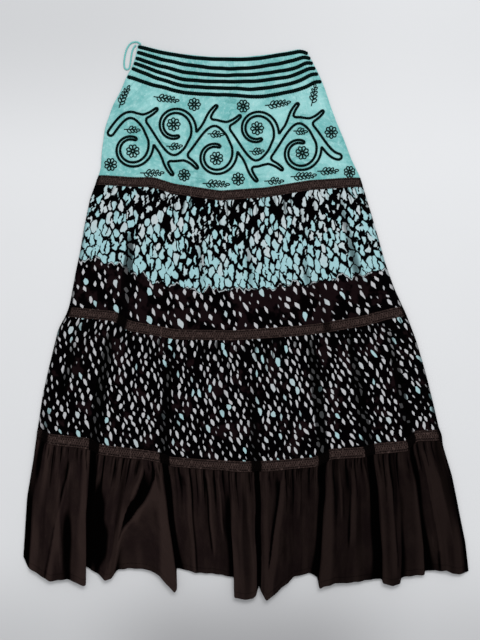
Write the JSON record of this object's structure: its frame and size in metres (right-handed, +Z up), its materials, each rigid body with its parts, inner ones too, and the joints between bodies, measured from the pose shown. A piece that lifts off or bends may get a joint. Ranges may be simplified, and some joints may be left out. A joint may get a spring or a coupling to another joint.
{
  "type": "long tiered skirt",
  "caption": "Long tiered cotton skirt laid flat, with a corded and embroidered yoke, two gathered print tiers and a plain gathered ruffle, joined under crochet braid.",
  "frame": {"origin": "on the surface that the skirt lies on, below the middle of its outline", "axes": "+X across the front to the right as seen, +Y up towards the waist, +Z up off the surface"},
  "size_m": [0.8006, 1.0032, 0.0147],
  "materials": {
    "turquoise_cotton": "matt mottled cotton",
    "green_black_cord": "matt couched cord",
    "brown_braid": "matt crochet braid",
    "aqua_print": "matt printed cotton",
    "spotted_print": "matt printed cotton",
    "dark_brown_cotton": "matt cotton"
  },
  "bodies": {
    "root": {"yoke_front": "turquoise_cotton", "yoke_back": "turquoise_cotton", "tier_1_front": "aqua_print", "tier_1_back": "aqua_print", "tier_2_front": "spotted_print", "tier_2_back": "spotted_print", "ruffle_front": "dark_brown_cotton", "ruffle_back": "dark_brown_cotton", "braid_1_front": "brown_braid", "braid_2_front": "brown_braid", "braid_3_front": "brown_braid", "braid_1_back": "brown_braid", "braid_2_back": "brown_braid", "braid_3_back": "brown_braid", "waist_cord_1": "green_black_cord", "waist_cord_2": "green_black_cord", "waist_cord_3": "green_black_cord", "waist_cord_4": "green_black_cord", "waist_cord_5": "green_black_cord", "waist_cord_6": "green_black_cord", "yoke_vine": "green_black_cord", "hanger_loop": "turquoise_cotton"}
  },
  "joints": []
}
